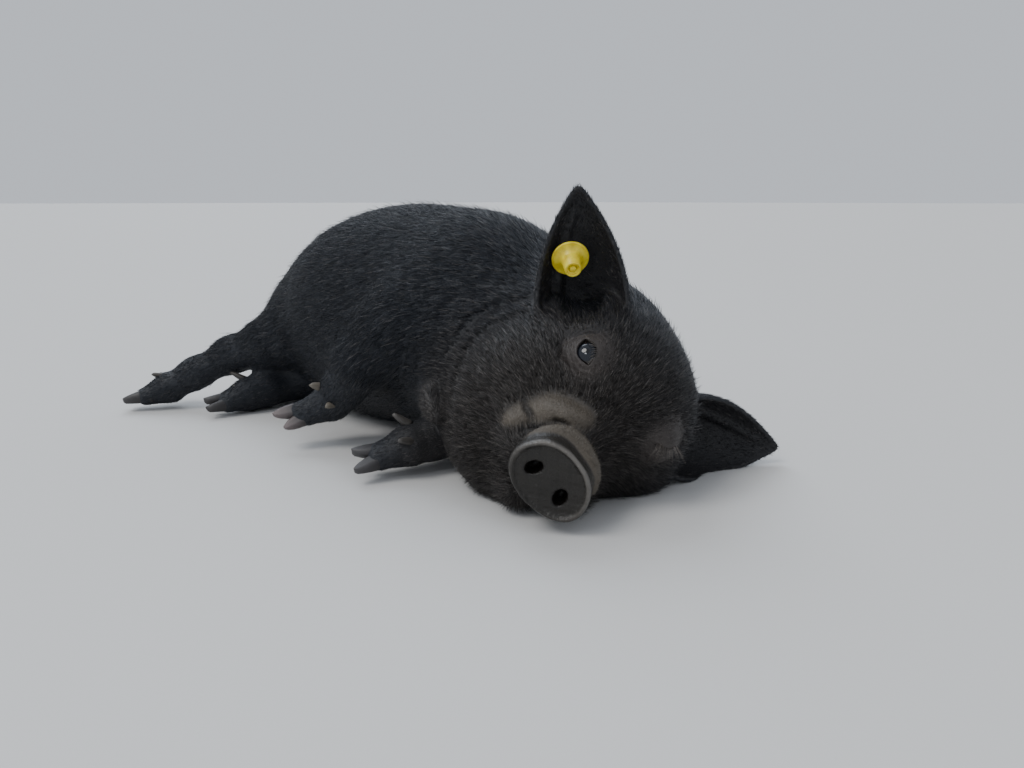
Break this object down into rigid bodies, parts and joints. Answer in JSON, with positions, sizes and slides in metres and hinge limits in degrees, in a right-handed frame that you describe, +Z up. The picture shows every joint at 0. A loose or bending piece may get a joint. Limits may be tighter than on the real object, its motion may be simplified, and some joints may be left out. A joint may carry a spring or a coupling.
{
  "type": "kunekune piglet, still life-size model",
  "caption": "Life-size still model of a black kunekune piglet lying on its left side, head turned to the front, with a yellow button tag in its right ear.",
  "frame": {"origin": "on the floor, under the middle of the whole model's outline seen from above", "axes": "+X along the trunk towards the head, +Y towards the back, +Z up from the floor"},
  "size_m": [0.3876, 0.2638, 0.1572],
  "materials": {
    "hide": "satin black skin under short bristles",
    "eye": "wet gloss",
    "claw": "dull horn",
    "tag": "moulded plastic, slight gloss"
  },
  "bodies": {
    "root": {"ear_left": "hide", "ear_right": "hide", "eye_left": "eye", "eye_right": "eye", "foreleg_left": "hide", "foreleg_left_claw_1": "claw", "foreleg_left_claw_2": "claw", "foreleg_left_dewclaw_1": "claw", "foreleg_left_dewclaw_2": "claw", "foreleg_right": "hide", "foreleg_right_claw_1": "claw", "foreleg_right_claw_2": "claw", "foreleg_right_dewclaw_1": "claw", "foreleg_right_dewclaw_2": "claw", "head": "hide", "hindleg_left": "hide", "hindleg_left_claw_1": "claw", "hindleg_left_claw_2": "claw", "hindleg_left_dewclaw_1": "claw", "hindleg_left_dewclaw_2": "claw", "hindleg_right": "hide", "hindleg_right_claw_1": "claw", "hindleg_right_claw_2": "claw", "hindleg_right_dewclaw_1": "claw", "hindleg_right_dewclaw_2": "claw", "neck": "hide", "snout": "hide", "tag_back": "tag", "tag_front": "tag", "tail": "hide", "torso": "hide"}
  },
  "joints": []
}
